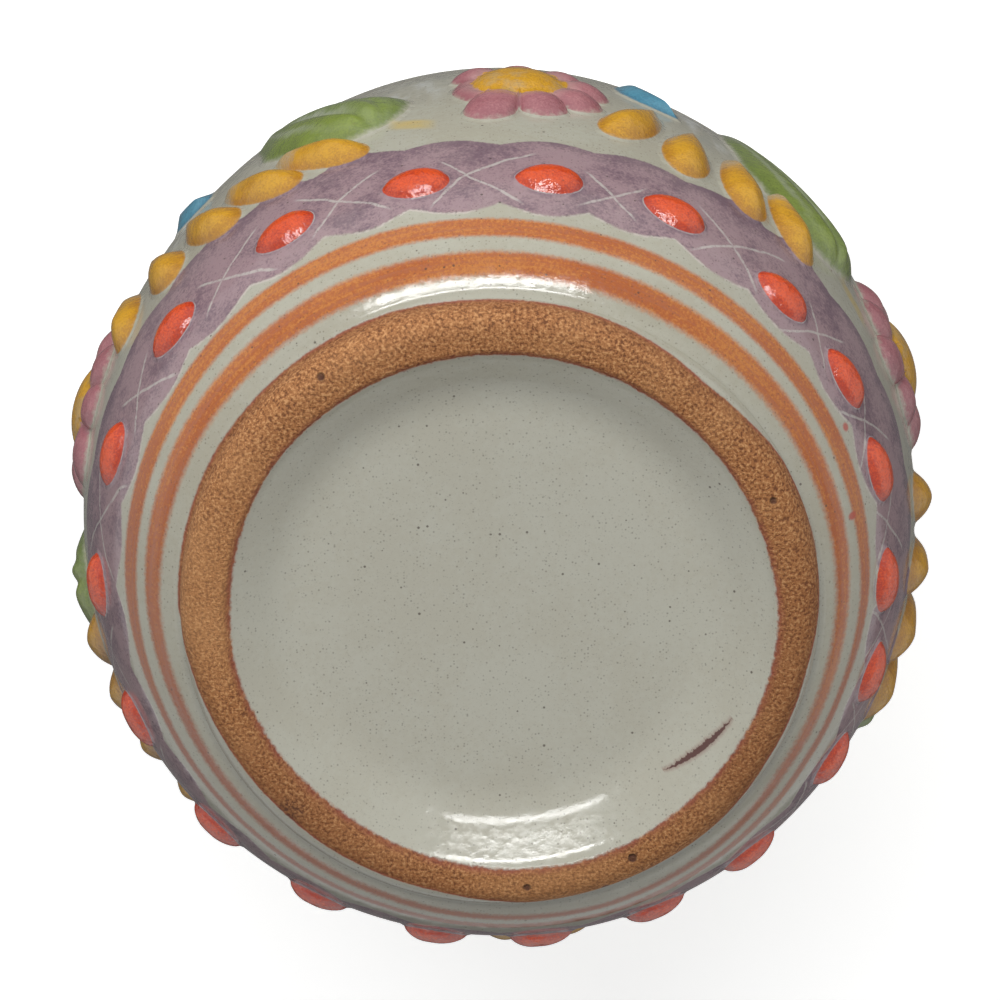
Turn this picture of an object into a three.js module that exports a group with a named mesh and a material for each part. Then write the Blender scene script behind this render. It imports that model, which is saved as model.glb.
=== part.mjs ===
// A stemless earthenware tumbler: a thrown, glazed body on a bare clay foot ring, with beads, drops,
// leaves, buds and flowers of clay laid on the outside of its wall.
// Millimetres, +Z up, the origin on the table under the middle of the foot.
// A turn is in degrees from +X, counted as seen from under the foot, where it runs counterclockwise.
import * as THREE from 'three';
import { mergeVertices } from 'three/addons/utils/BufferGeometryUtils.js';

// Body sizes
const height = 102; // table to rim
const bellyRadius = 46.3; // widest circle of the bare wall
const bellyLevel = 44; // its level over the table
const rimRadius = 37; // outside of the rim
const wallThickness = 4.6; // at the belly
const lipThickness = 3.4; // at the rim
const floorThickness = 5; // between the recess and the inside

// How the wall swells: lengths of the curve's handles
const footFlareOut = 8.7; // how far the wall runs out from the foot before it turns up
const footFlareUp = 3.8;
const bellyFullnessBelow = 22;
const bellyFullnessAbove = 20;
const rimTaperIn = 4.3; // lean of the wall under the rim
const rimTaperDown = 19;

// Foot ring and recess
const footOuterRadius = 32.3; // where the glaze stops
const footInnerRadius = 27.3; // where the glaze of the recess starts
const footRound = 3.4; // height of the wiped, rounded outer edge
const footFlatWidth = 1.6; // the band that stands on the table
const footInnerRound = 0.5;
const recessDepth = 4.5;
const recessSlopeWidth = 5.2; // how far in from the foot the recess slopes down to its floor
const recessSlopeLow = 0.6; // level at which the slope meets the foot
const recessFillet = 2; // run of the curve between the slope and the floor

// Relief: how it is laid on
const seatGap = 0.3; // between the wall's glaze and the back of each piece
const edgeThickness = 0.35; // how thick a piece is at its rim

// Band of beads
const beadLevel = 14; // of the ring, which each bead leaves a little
const beadWidth = 6.8;
const beadHeight = 4.8;
const beadThickness = 0.85; // over its edge

// Frieze of sprays
const flowerLevel = 39.5;
const flowerReach = 10; // centre to the tip of a petal
const firstPetalReach = 12; // the lowest petal hangs longer
const petalThickness = 1.7;
const petalRoot = 7.2; // where neighbouring petals part
const eyeRadius = 5.1; // the round middle of a flower
const eyeThickness = 2.6;
const petalSlots = 9; // places for petals round the eye
const firstPetalBearing = 250; // degrees, seen from outside, from the right and counterclockwise

const leafLevel = 32; // of the leaf's low tip
const leafLength = 28;
const leafWidth = 16;
const leafThickness = 1.8;
const leafLean = -32; // degrees from upright, to the right seen from outside
const leafLobes = 3; // on each side
const leafLobeDepth = 0.1; // share of the half width

const dropLevel = 27.4; // of the fullest part of the first drop of a spray
const dropLevelRise = 4.4; // how much higher the last one sits
const dropLength = 12.4;
const dropWidth = 5.6;
const dropThickness = 1.3;
const dropFullShare = 1 / 3; // of its length, where a drop is widest

const budLevel = 48.5;
const budLength = 10;
const budWidth = 6;
const budThickness = 1.7;
const budLean = -40;

// Where the potter set each piece, by hand and so not quite even. A bead has its turn in degrees and how
// far it sits above the ring's level. A spray has the turns of its pieces, the leans of its first and last
// drop, the number of its flower's petals and how far it sits above the frieze's levels.
const beadPlaces = [
  [17, -1.6], [31, -0.3], [46, 0], [65, 1.3], [83, 1.2], [101.5, 1.3], [121, 1.6],
  [142, 1.6], [162, 1], [182, 1.2], [203, 0.6], [223, 0], [241.5, -0.6], [260, -1],
  [276, -1.2], [294, -1.6], [311, -2.1], [330.5, -2.6], [345.5, -2.6], [360.5, -3.1],
];
const sprays = [
  {
    flower: 20, petals: 9, leaf: 37, bud: 69.5, above: 0.4,
    drops: [47, 55.5, 64.5, 72.8], fan: [-12, 14],
  },
  {
    flower: 87.5, petals: 7, leaf: 105, bud: 138, above: 0,
    drops: [113, 122.3, 131.5, 141, 151], fan: [-32, 2],
  },
  {
    flower: 166.7, petals: 9, leaf: 185.5, bud: 216, above: -0.4,
    drops: [195.5, 204, 212.5, 221, 229.5], fan: [-28, 8],
  },
  {
    flower: 246, petals: 9, leaf: 262.5, bud: 291, above: -4,
    drops: [271.5, 280.5, 289, 297.5], fan: [-20, 12],
  },
  {
    flower: 312.5, petals: 9, leaf: 329, bud: 355, above: -3,
    drops: [338, 346.8, 355.8, 364.8], fan: [-14, 10],
  },
];

// Fineness of the surface
const bodySteps = 64; // round the body
const wallCurveSteps = 9; // along each half of the outer wall
const innerWallSteps = 6;
const cornerSteps = 3; // in a small round

const white = new THREE.MeshStandardMaterial({ color: 0xc9c9ba, roughness: 0.22, metalness: 0 });
const red = new THREE.MeshStandardMaterial({ color: 0xe04a2a, roughness: 0.2, metalness: 0 });
const yellow = new THREE.MeshStandardMaterial({ color: 0xd9a32c, roughness: 0.22, metalness: 0 });
const green = new THREE.MeshStandardMaterial({ color: 0x7d9741, roughness: 0.22, metalness: 0 });
const blue = new THREE.MeshStandardMaterial({ color: 0x5096b0, roughness: 0.22, metalness: 0 });
const pink = new THREE.MeshStandardMaterial({ color: 0xb9737f, roughness: 0.22, metalness: 0 });

const tumbler = new THREE.Group();

function addPiece(name, geometry, material) {
  const piece = new THREE.Mesh(geometry, material);
  piece.name = name;
  tumbler.add(piece);
}

// The outer wall, from the edge of the glaze at the foot to the start of the lip
const lipRound = lipThickness / 2;
const glazeEdge = new THREE.Vector2(footOuterRadius, footRound);
const belly = new THREE.Vector2(bellyRadius, bellyLevel);
const lipStart = new THREE.Vector2(rimRadius, height - lipRound);
const lowerWall = new THREE.CubicBezierCurve(
  glazeEdge,
  new THREE.Vector2(glazeEdge.x + footFlareOut, glazeEdge.y + footFlareUp),
  new THREE.Vector2(belly.x, belly.y - bellyFullnessBelow),
  belly,
);
const upperWall = new THREE.CubicBezierCurve(
  belly,
  new THREE.Vector2(belly.x, belly.y + bellyFullnessAbove),
  new THREE.Vector2(lipStart.x + rimTaperIn, lipStart.y - rimTaperDown),
  lipStart,
);
const outerWall = new THREE.CurvePath();
outerWall.add(lowerWall);
outerWall.add(upperWall);
const wallRun = outerWall.getLength();

// The run up the wall from the edge of the glaze at which it reaches a level
function runAtLevel(level) {
  let low = 0;
  let high = wallRun;
  for (let halving = 0; halving < 30; halving += 1) {
    const middle = (low + high) / 2;
    if (outerWall.getPoint(middle / wallRun).y < level) low = middle;
    else high = middle;
  }
  return low;
}

// Points of an arc of an ellipse in the profile plane, its first one left out
function arcPoints(centre, radiusOut, radiusUp, fromDegrees, toDegrees, steps) {
  return Array.from({ length: steps }, (_, step) => {
    const angle = THREE.MathUtils.degToRad(
      THREE.MathUtils.lerp(fromDegrees, toDegrees, (step + 1) / steps),
    );
    return new THREE.Vector2(
      centre.x + radiusOut * Math.cos(angle),
      centre.y + radiusUp * Math.sin(angle),
    );
  });
}

// The body is one closed profile turned about Z: recess, foot, outer wall, lip, inner wall, inside floor.
function bodyProfile() {
  const slopeTop = new THREE.Vector2(footInnerRadius - recessSlopeWidth, recessDepth);
  const slopeLow = new THREE.Vector2(footInnerRadius, recessSlopeLow);
  const recessCurve = new THREE.QuadraticBezierCurve(
    new THREE.Vector2(slopeTop.x - recessFillet, recessDepth),
    slopeTop,
    slopeTop.clone().lerp(slopeLow, recessFillet / slopeTop.distanceTo(slopeLow)),
  );
  const standInner = footInnerRadius + footInnerRound;
  const standOuter = standInner + footFlatWidth;
  const recess = [
    new THREE.Vector2(0, recessDepth),
    ...recessCurve.getPoints(cornerSteps),
    slopeLow,
  ];
  const foot = [
    new THREE.Vector2(standInner, 0),
    new THREE.Vector2(standOuter, 0),
    ...arcPoints(
      new THREE.Vector2(standOuter, footRound),
      footOuterRadius - standOuter, footRound, -90, 0, cornerSteps + 1,
    ),
  ];
  const outside = [
    ...lowerWall.getPoints(wallCurveSteps).slice(1),
    ...upperWall.getPoints(wallCurveSteps).slice(1),
  ];
  const lip = arcPoints(
    new THREE.Vector2(lipStart.x - lipRound, lipStart.y),
    lipRound, lipRound, 0, 180, cornerSteps + 1,
  );

  // The inner wall keeps its thickness square to the outer one, down to where the inside rounds off.
  const insideFloor = recessDepth + floorThickness;
  const innerEndRun = runAtLevel(insideFloor + bellyFullnessBelow);
  const inside = Array.from({ length: innerWallSteps }, (_, step) => {
    const run = THREE.MathUtils.lerp(wallRun, innerEndRun, (step + 1) / innerWallSteps);
    const share = run / wallRun;
    const thickness = THREE.MathUtils.lerp(
      wallThickness, lipThickness, THREE.MathUtils.smoothstep(share, 0.5, 1),
    );
    const spot = outerWall.getPoint(share);
    const way = outerWall.getTangent(share);
    return new THREE.Vector2(spot.x - way.y * thickness, spot.y + way.x * thickness);
  });
  const turnIn = inside[inside.length - 1];
  const insideRound = new THREE.CubicBezierCurve(
    turnIn,
    new THREE.Vector2(turnIn.x - 0.06 * turnIn.x, turnIn.y - 0.6 * (turnIn.y - insideFloor)),
    new THREE.Vector2(0.7 * turnIn.x, insideFloor),
    new THREE.Vector2(0, insideFloor),
  );
  const insideFoot = insideRound.getPoints(innerWallSteps).slice(1);
  return [...recess, ...foot, ...outside, ...lip, ...inside, ...insideFoot];
}

// Merges the spots that lie on each other and drops the triangles that closed up there
function closedByPosition(geometry) {
  geometry.deleteAttribute('normal');
  geometry.deleteAttribute('uv');
  const merged = mergeVertices(geometry, 1e-3);
  const index = merged.getIndex().array;
  const kept = [];
  for (let corner = 0; corner < index.length; corner += 3) {
    const [a, b, c] = index.slice(corner, corner + 3);
    if (a !== b && b !== c && c !== a) kept.push(a, b, c);
  }
  merged.setIndex(kept);
  merged.computeVertexNormals();
  return merged;
}

// A lathe turns its profile about Y, so the body is tipped up onto Z.
const turnedBody = new THREE.LatheGeometry(bodyProfile(), bodySteps).rotateX(Math.PI / 2);
addPiece('clay_body', closedByPosition(turnedBody), white);

// A spot on the outside of the wall. The place holds a turn, a level and a lean; across runs to the right
// seen from outside, along runs up the wall, and proud is measured square to the glaze.
function onWall(place, across, along, proud) {
  const lean = THREE.MathUtils.degToRad(place.lean ?? 0);
  const side = across * Math.cos(lean) + along * Math.sin(lean);
  const rise = along * Math.cos(lean) - across * Math.sin(lean);
  const share = THREE.MathUtils.clamp((runAtLevel(place.level) + rise) / wallRun, 0, 1);
  const spot = outerWall.getPoint(share);
  const way = outerWall.getTangent(share);
  const radius = spot.x + way.y * proud;
  const turn = THREE.MathUtils.degToRad(place.turn) - side / spot.x;
  return new THREE.Vector3(
    radius * Math.cos(turn),
    -radius * Math.sin(turn),
    spot.y - way.x * proud,
  );
}

// A piece of relief, closed underneath. Each spoke gives a point of the outline and the point of the
// ridge that it runs in to; crown gives the thickness at a share of the way out along a spoke.
function reliefGeometry(place, spokes, topShares, backShares, crown) {
  const positions = [];
  const faces = [];
  const count = spokes.length;
  function ring(share, proudAt) {
    const first = positions.length / 3;
    spokes.forEach((spoke, index) => {
      const across = THREE.MathUtils.lerp(spoke.ridge.x, spoke.edge.x, share);
      const along = THREE.MathUtils.lerp(spoke.ridge.y, spoke.edge.y, share);
      positions.push(...onWall(place, across, along, proudAt(share, index)).toArray());
    });
    return first;
  }
  function bridge(outer, inner) {
    for (let index = 0; index < count; index += 1) {
      const next = (index + 1) % count;
      faces.push(outer + index, outer + next, inner + next);
      faces.push(outer + index, inner + next, inner + index);
    }
  }
  const backRings = backShares.map((share) => ring(share, () => seatGap));
  const topRings = topShares.map(
    (share) => ring(share, (at, index) => seatGap + edgeThickness + crown(at, spokes[index])),
  );
  const rings = [...backRings, ...topRings];
  rings.slice(1).forEach((inner, index) => bridge(rings[index], inner));
  const geometry = new THREE.BufferGeometry();
  geometry.setAttribute('position', new THREE.Float32BufferAttribute(positions, 3));
  geometry.setIndex(faces);
  return closedByPosition(geometry);
}

// Spokes of a piece that is even about its length. The half width is given at a share of the length from
// its low end, and the ends of the ridge and the spot that lies on the place are shares of it too.
function spokesAlong({ count, length, halfWidth, ridge, origin }) {
  return Array.from({ length: count }, (_, index) => {
    const angle = (2 * Math.PI * index) / count;
    const share = (1 + Math.sin(angle)) / 2;
    const side = Math.sign(Math.round(1e6 * Math.cos(angle)));
    const ridgeShare = THREE.MathUtils.lerp(ridge[0], ridge[1], share);
    return {
      share,
      edge: new THREE.Vector2(side * halfWidth(share), (share - origin) * length),
      ridge: new THREE.Vector2(0, (ridgeShare - origin) * length),
    };
  });
}

// A low rounded dome over the way out from the ridge
function domeAt(share) {
  return Math.sqrt(Math.max(0, 1 - share * share));
}

const smallTopShares = [1, 0.75, 0];
const smallBackShares = [0, 1];

// Beads: oval cushions of clay, pressed on in a ring low on the wall
beadPlaces.forEach(([turn, above], index) => {
  const spokes = spokesAlong({
    count: 12,
    length: beadHeight,
    halfWidth: (share) => beadWidth * Math.sqrt(share * (1 - share)),
    ridge: [0.5, 0.5],
    origin: 0.5,
  });
  const place = { turn, level: beadLevel + above };
  const geometry = reliefGeometry(
    place, spokes, smallTopShares, smallBackShares, (share) => beadThickness * domeAt(share),
  );
  addPiece(`red_bead_${String(index + 1).padStart(2, '0')}`, geometry, red);
});

// Drops: round at the foot and drawn out to a point up the wall, fanned under each bud
function dropHalfWidth(share) {
  const outline = (1 - share) * Math.sqrt(share);
  const fullest = (1 - dropFullShare) * Math.sqrt(dropFullShare);
  return ((dropWidth / 2) * outline) / fullest;
}

let dropNumber = 0;
sprays.forEach((spray) => {
  const last = spray.drops.length - 1;
  spray.drops.forEach((turn, index) => {
    dropNumber += 1;
    const share = index / last;
    const place = {
      turn,
      level: dropLevel + spray.above + dropLevelRise * share ** 3,
      lean: THREE.MathUtils.lerp(spray.fan[0], spray.fan[1], share),
    };
    const geometry = reliefGeometry(
      place,
      spokesAlong({
        count: 12,
        length: dropLength,
        halfWidth: dropHalfWidth,
        ridge: [dropFullShare, 0.7],
        origin: dropFullShare,
      }),
      smallTopShares,
      smallBackShares,
      (out, spoke) => dropThickness * domeAt(out) * (1 - 0.6 * spoke.share),
    );
    addPiece(`yellow_drop_${String(dropNumber).padStart(2, '0')}`, geometry, yellow);
  });
});

// Buds: almond-shaped, high on the wall
function budHalfWidth(share) {
  return (budWidth / 2) * Math.sin(Math.PI * share) ** 0.8;
}

// Leaves: broad, with shallow lobes, rising from a low round tip beside each flower's stem
function leafHalfWidth(share) {
  const swell = Math.sin(Math.PI * share) ** 0.8;
  const lobes = 1 - leafLobeDepth * (1 + Math.cos(2 * Math.PI * leafLobes * share)) / 2;
  return (leafWidth / 2) * swell * lobes;
}

// Flowers: a round eye in the middle of broad petals. Where petals are missing the flower ends at their
// roots. Each petal has four spokes, and its fullness runs from 0 beside a neighbour to 1 along its middle.
function flowerSpokes(petals) {
  const spokesPerPetal = 4;
  const count = petalSlots * spokesPerPetal;
  return Array.from({ length: count }, (_, index) => {
    const slot = Math.round(index / spokesPerPetal) % petalSlots;
    const offset = index / spokesPerPetal - Math.round(index / spokesPerPetal);
    const fullness = slot < petals ? Math.max(0, Math.cos(Math.PI * offset)) : 0;
    const tip = slot === 0 ? firstPetalReach : flowerReach;
    const reach = petalRoot + (tip - petalRoot) * Math.sqrt(fullness);
    const angle = THREE.MathUtils.degToRad(firstPetalBearing + (360 * index) / count);
    return {
      fullness,
      reach,
      edge: new THREE.Vector2(reach * Math.cos(angle), reach * Math.sin(angle)),
      ridge: new THREE.Vector2(0, 0),
    };
  });
}

sprays.forEach((spray, index) => {
  const number = index + 1;
  addPiece(
    `blue_bud_${number}`,
    reliefGeometry(
      { turn: spray.bud, level: budLevel + spray.above, lean: budLean },
      spokesAlong({
        count: 12,
        length: budLength,
        halfWidth: budHalfWidth,
        ridge: [0.3, 0.7],
        origin: 0.5,
      }),
      smallTopShares,
      smallBackShares,
      (out) => budThickness * domeAt(out),
    ),
    blue,
  );
  addPiece(
    `green_leaf_${number}`,
    reliefGeometry(
      { turn: spray.leaf, level: leafLevel + spray.above, lean: leafLean },
      spokesAlong({
        count: 28,
        length: leafLength,
        halfWidth: leafHalfWidth,
        ridge: [0.12, 0.88],
        origin: 0,
      }),
      [1, 0.8, 0.4, 0],
      [0, 0.5, 1],
      (out) => leafThickness * domeAt(out),
    ),
    green,
  );
  addPiece(
    `flower_${number}`,
    reliefGeometry(
      { turn: spray.flower, level: flowerLevel + spray.above },
      flowerSpokes(spray.petals),
      [1, 0.85, 0.6, 0.4, 0.2, 0],
      [0, 0.5, 1],
      flowerCrown,
    ),
    pink,
  );
});

// The thickness of a flower over its edge: the eye's dome, then the petals with the folds between them
function flowerCrown(share, spoke) {
  const out = share * spoke.reach;
  if (out < eyeRadius) return eyeThickness * domeAt(out / (1.2 * eyeRadius));
  const alongPetal = (out - eyeRadius) / (spoke.reach - eyeRadius);
  const fold = 0.4 + 0.6 * spoke.fullness;
  return petalThickness * fold * domeAt(alongPetal);
}

export default tumbler;
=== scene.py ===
"""Dresses the tumbler: a thrown pot with painted glaze, a bare clay foot and relief round its wall.

Everything is in metres, +Z up, with the origin on the table under the middle of the foot. A turn is in
degrees from +X, counted as seen from under the foot, where it runs counterclockwise. The tables and the
materials are in millimetres.
"""

import bisect
import math
from functools import partialmethod

import bmesh
import bpy
from mathutils import Matrix, Vector, geometry, noise


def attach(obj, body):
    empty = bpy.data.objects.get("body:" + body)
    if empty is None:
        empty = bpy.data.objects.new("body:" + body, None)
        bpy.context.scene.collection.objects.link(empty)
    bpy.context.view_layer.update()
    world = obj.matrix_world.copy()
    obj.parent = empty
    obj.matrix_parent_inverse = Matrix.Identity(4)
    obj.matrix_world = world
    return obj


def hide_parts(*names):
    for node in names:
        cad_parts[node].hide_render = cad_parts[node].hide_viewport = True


bl_info = {
    "name": "Ceramic tumbler",
    "version": (1, 0, 0),
    "blender": (4, 5, 0),
    "location": "3D View > Sidebar > Tumbler",
    "description": "Dresses a stemless earthenware tumbler with glaze, painting and relief",
    "category": "Object",
}

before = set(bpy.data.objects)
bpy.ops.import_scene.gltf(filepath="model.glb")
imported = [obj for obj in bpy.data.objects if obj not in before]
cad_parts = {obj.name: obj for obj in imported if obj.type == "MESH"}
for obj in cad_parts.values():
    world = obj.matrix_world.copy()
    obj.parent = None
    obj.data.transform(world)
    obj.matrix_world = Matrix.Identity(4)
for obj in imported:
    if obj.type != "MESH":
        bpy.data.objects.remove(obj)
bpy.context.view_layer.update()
BODY = "root"
MM = 0.001

# Where the potter set each bead: its turn, and how far it sits above the ring's level
BEAD_PLACES = [
    (17, -1.6), (31, -0.3), (46, 0), (65, 1.3), (83, 1.2), (101.5, 1.3), (121, 1.6),
    (142, 1.6), (162, 1), (182, 1.2), (203, 0.6), (223, 0), (241.5, -0.6), (260, -1),
    (276, -1.2), (294, -1.6), (311, -2.1), (330.5, -2.6), (345.5, -2.6), (360.5, -3.1),
]
# A spray has the turns of its pieces, the leans of its first and last drop, its flower's petals, and how far
# it sits above the frieze's levels.
SPRAYS = [
    {"flower": 20, "petals": 9, "leaf": 37, "bud": 69.5, "above": 0.4,
     "drops": [47, 55.5, 64.5, 72.8], "fan": (-21, 24)},
    {"flower": 87.5, "petals": 7, "leaf": 105, "bud": 138, "above": 0,
     "drops": [113, 122.3, 131.5, 141, 151], "fan": (-48, 5)},
    {"flower": 166.7, "petals": 9, "leaf": 185.5, "bud": 216, "above": -0.4,
     "drops": [195.5, 204, 212.5, 221, 229.5], "fan": (-36, 14)},
    {"flower": 246, "petals": 9, "leaf": 262.5, "bud": 291, "above": -4,
     "drops": [271.5, 280.5, 289, 297.5], "fan": (-28, 20)},
    {"flower": 312.5, "petals": 9, "leaf": 329, "bud": 355, "above": -3,
     "drops": [338, 346.8, 355.8, 364.8], "fan": (-24, 20)},
]
# The two brushed lines: by turn, the level of the middle, and half the width
LINES = [
    ([(0, 4.9), (15, 5.05), (60, 5), (90, 5.3), (120, 5.6), (150, 5.6), (180, 5.3), (200, 4.75), (225, 4.6),
      (250, 4.7), (270, 5.15), (288, 5.6), (310, 5.15), (328, 4.6), (345, 4.7), (360, 4.9)],
     [(0, 0.6), (20, 0.78), (60, 0.88), (120, 0.98), (165, 0.88), (185, 0.65), (210, 0.45), (320, 0.43),
      (360, 0.6)]),
    ([(0, 7.25), (15, 7.5), (45, 7.8), (75, 8.1), (105, 8.75), (130, 8.9), (160, 8.35), (180, 7.8),
      (200, 6.95), (225, 6.45), (250, 6.25), (270, 6.75), (288, 7.3), (310, 6.65), (330, 6.2), (345, 6.5),
      (360, 7.25)],
     [(0, 0.68), (20, 0.95), (60, 0.97), (120, 1.03), (160, 1.03), (180, 0.9), (200, 0.55), (225, 0.45),
      (290, 0.6), (330, 0.5), (345, 0.45), (360, 0.68)]),
]
# How brown the brushed lines are, by turn
LINES_BROWN = [(0, 0.3), (30, 0), (150, 0), (176, 0.5), (205, 0.8), (330, 0.7), (360, 0.3)]
# Levels of the washed band's edges, by turn, at the cusps between their scallops
BAND_TOP = [
    (0, 20.6), (20, 22.6), (48, 23.8), (72, 22.4), (92, 21.8), (108, 23.4), (135, 24), (160, 22.4),
    (190, 21.6), (235, 21.6), (285, 20.4), (330, 19.6), (360, 20.6),
]
BAND_BOTTOM = [
    (0, 10), (30, 10.8), (60, 11.4), (90, 11.4), (120, 11.6), (150, 11), (180, 10.4), (205, 9.6), (240, 9.2),
    (290, 9.6), (330, 9.1), (360, 10),
]
# Where the glaze stops on the foot, by turn: the radius, with EDGE_TILT of the level taken off or added
RECESS_EDGE = [
    (0, 27.8), (15, 27.4), (40, 27.1), (60, 27), (130, 27.1), (142, 27.3), (160, 27), (178, 26.75),
    (190, 26.95), (210, 26.6), (232, 26.4), (250, 26.75), (270, 27.25), (290, 27.7), (315, 27.5), (340, 27.7),
    (360, 27.8),
]
WALL_EDGE = [
    (0, 32.7), (12, 33.4), (30, 33.1), (40, 32.2), (50, 31.8), (60, 32.4), (75, 33), (95, 33.2), (110, 33.7),
    (150, 33.9), (180, 33.6), (190, 32.2), (200, 31.4), (210, 30.9), (225, 30.6), (258, 30.6), (270, 31.4),
    (280, 32.9), (310, 32.9), (320, 32.1), (330, 31.6), (350, 31.8), (360, 32.7),
]
EDGE_TILT = 0.3
# Where the scratched lines cross between the beads: turn and level
CROSSES = [
    (9, 12.2), (24, 13.4), (38.5, 14.6), (55.9, 15.3), (74, 14.5), (94.9, 15.8), (112.7, 16.6), (132, 15.3),
    (152.5, 14.7), (172, 15.4), (192.5, 15.4), (213, 14.8), (232, 14.2), (251, 13.8), (268, 13.5),
    (285, 13.2), (302.5, 12.9), (321, 12.3), (338, 12), (353, 11.8),
]
# Painted light and painted shade on the foot's clay, by turn: how much paler and how much darker it is made
CLAY_PAINTED_LIGHT = [
    (0, 0), (145, 0.05), (165, 0.2), (182, 0.36), (196, 0.05), (260, 0), (280, 0.3), (298, 0.1), (360, 0),
]
CLAY_PAINTED_SHADE = [
    (0, 0.2), (30, 0), (195, 0), (222, 0.3), (245, 0.2), (268, 0), (305, 0.05), (325, 0.3), (360, 0.2),
]
# Pits in the foot: x, y and radius
PITS = [(-17.5, -25.1, 0.35), (10.9, 29.9, 0.4), (2.8, 29.3, 0.32), (13.6, 26, 0.42), (27, -12.5, 0.3)]
# A smear of burnt clay on the foot: x and y
SMEAR = (-21.4, 20.8)
# The two ends of the firing crack on the recess's slope: x and y
CRACK = ((16.75, 17.5), (23.6, 11.1))
# Red flecks on the wall: turn and level
FLECKS = [(13.9, 6.6), (26.3, 9.6)]
# Where dark and pale streaks are painted on both sides of a flower, as the shade and sheen of low folds in
# the wall that are not modelled: turns from it, and how strong
FOLD_SHADE_AND_SHEEN = [(-31, 0), (-28, 1), (-25, 1), (-22, 0), (9, 0), (12, 1), (17, 1), (23, 0)]
# A radius in the middle of the wall, by level, as shares of the highest level and the widest radius
MIDWALL_TOP, MIDWALL_WIDEST = 110, 100
MIDWALL = [
    (0, 0.3), (4 / MIDWALL_TOP, 0.305), (15 / MIDWALL_TOP, 0.39), (40 / MIDWALL_TOP, 0.44),
    (60 / MIDWALL_TOP, 0.43), (102 / MIDWALL_TOP, 0.353), (1, 0.34),
]
# The wall's radius at the flecks and at the stems, by which a turn becomes a length
FLECK_RADIUS, STEM_RADIUS = 38, 45


def srgb(red, green, blue):
    """A colour given in 0 to 255, as Blender's linear values."""
    def linear(value):
        share = value / 255
        return share / 12.92 if share <= 0.04045 else ((share + 0.055) / 1.055) ** 2.4
    return (linear(red), linear(green), linear(blue))


def halfway(first, second):
    """The colour half way between two."""
    return tuple((one + other) / 2 for one, other in zip(first, second))


def length(name, description, millimetres):
    """A length property with its default in millimetres."""
    return bpy.props.FloatProperty(
        name=name, description=description, default=millimetres * MM, unit="LENGTH", precision=5
    )


def colour(name, description, *values):
    """A colour property with its default in 0 to 255."""
    return bpy.props.FloatVectorProperty(
        name=name, description=description, default=srgb(*values), subtype="COLOR", size=3, min=0, max=1
    )


def plain(name, description, default, unit="NONE"):
    """A plain number property."""
    return bpy.props.FloatProperty(name=name, description=description, default=default, unit=unit)


class TumblerBody(bpy.types.PropertyGroup):
    """Sizes of the thrown body."""

    height: length("Height", "Table to rim", 102)
    belly_radius: length("Belly radius", "Widest circle of the bare wall", 46.3)
    belly_level: length("Belly level", "Level of the widest circle", 44)
    rim_radius: length("Rim radius", "Outside of the rim", 37)
    wall: length("Wall", "Thickness at the belly", 4.6)
    lip: length("Lip", "Thickness at the rim", 3.4)
    floor: length("Floor", "Thickness between the recess and the inside", 5)
    foot_outer: length("Foot outside", "Radius at which the outer glaze stops", 32.3)
    foot_inner: length("Foot inside", "Radius at which the recess's glaze stops", 27.3)
    foot_round: length("Foot round", "Height of the wiped outer edge", 3.4)
    foot_flat: length("Foot flat", "Width of the band that stands on the table", 1.6)
    recess: length("Recess", "Depth under the base", 4.5)
    slope: length("Slope", "How far in from the foot the recess slopes down to its floor", 5.2)
    slope_low: length("Slope's foot", "Level at which the slope meets the foot", 0.6)
    slope_curve: length("Slope's curve", "Run of the curve between the slope and the floor", 2.6)
    unevenness: length("Unevenness", "How far the hand-thrown wall wanders in and out", 0.22)


class TumblerRelief(bpy.types.PropertyGroup):
    """Sizes of the pieces laid on the wall."""

    base: length("Base", "How far a piece's outline stands out of the wall", 0.16)
    skirt: length("Skirt", "Width of the glaze that runs from a piece onto the wall", 0.8)
    bead_level: length("Bead level", "Level of the ring of beads", 14)
    bead_width: length("Bead width", "Round the wall", 6.8)
    bead_height: length("Bead height", "Up the wall", 4.8)
    bead_crown: length("Bead crown", "How far a bead stands out", 1.35)
    flower_level: length("Flower level", "Level of a flower's middle", 39.5)
    flower_reach: length("Flower reach", "Middle to the tip of a petal", 10)
    first_petal: length("First petal", "Reach of the lowest petal", 12)
    petal_root: length("Petal root", "Where neighbouring petals part", 7.2)
    petal_crown: length("Petal crown", "How far a petal stands out", 1.8)
    eye_radius: length("Eye radius", "The round middle of a flower", 5.1)
    eye_crown: length("Eye crown", "How far the eye stands out", 2.5)
    leaf_level: length("Leaf level", "Level of a leaf's low tip", 30.6)
    leaf_length: length("Leaf length", "Tip to tip", 28)
    leaf_width: length("Leaf width", "At its widest", 16)
    leaf_crown: length("Leaf crown", "How far a leaf stands out", 2.9)
    drop_level: length("Drop level", "Level of a spray's first drop", 27.4)
    drop_rise: length("Drop rise", "How much higher the last drop sits", 4.4)
    drop_length: length("Drop length", "Foot to point", 14.2)
    drop_width: length("Drop width", "At its fullest", 5.6)
    drop_crown: length("Drop crown", "How far a drop stands out", 1.9)
    bud_level: length("Bud level", "Level of a bud's middle", 48.5)
    bud_length: length("Bud length", "End to end", 11)
    bud_width: length("Bud width", "At its widest", 6)
    bud_crown: length("Bud crown", "How far a bud stands out", 1.2)


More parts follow.
